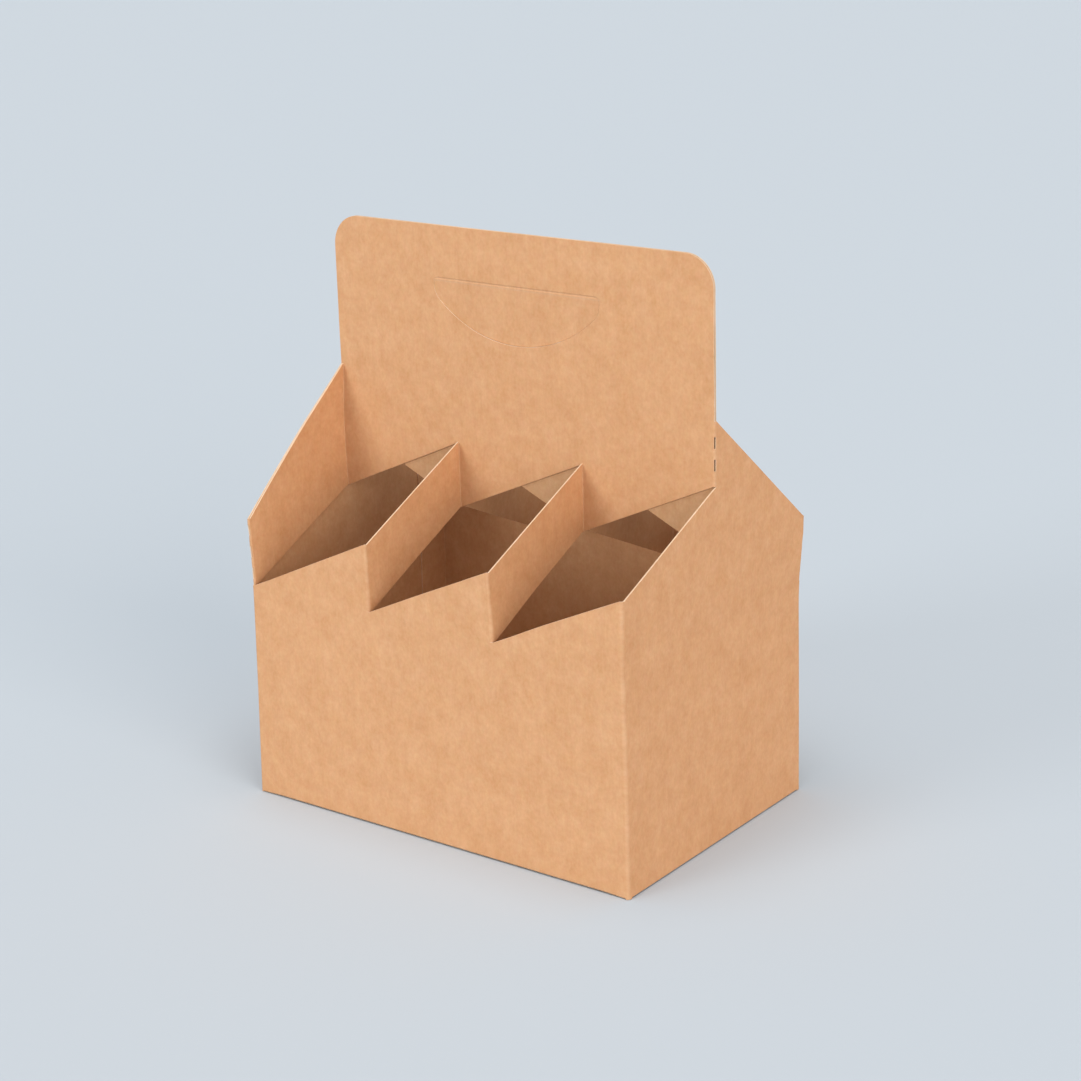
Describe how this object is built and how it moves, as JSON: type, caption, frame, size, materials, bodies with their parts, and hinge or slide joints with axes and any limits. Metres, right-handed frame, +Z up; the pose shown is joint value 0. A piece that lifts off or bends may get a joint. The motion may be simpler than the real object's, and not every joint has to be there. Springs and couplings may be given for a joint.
{
  "type": "bottle carrier",
  "caption": "Open-top bottle carrier folded from one sheet of kraft board, with ramped cell rims, fold-in dividers and an upright handle with a hand-hole.",
  "frame": {"origin": "middle of the footprint, on the surface that the carrier stands on", "axes": "+X along the carrier, +Y from the front wall to the back wall, +Z up along the handle"},
  "size_m": [0.2106, 0.1416, 0.268],
  "materials": {
    "kraft_board": "uncoated, matt, finely mottled, paler cut edges"
  },
  "bodies": {
    "carrier": {"carrier_blank": "kraft_board"},
    "grip_tabs": {"grip_tab_front": "kraft_board", "grip_tab_back": "kraft_board"}
  },
  "joints": [
    {"name": "grip_tabs_swing", "type": "hinge", "parent": "carrier", "child": "grip_tabs", "pos_m": [0, 0.0007, 0.2432], "axis": [1, 0, 0], "range_deg": [0, 160]}
  ]
}
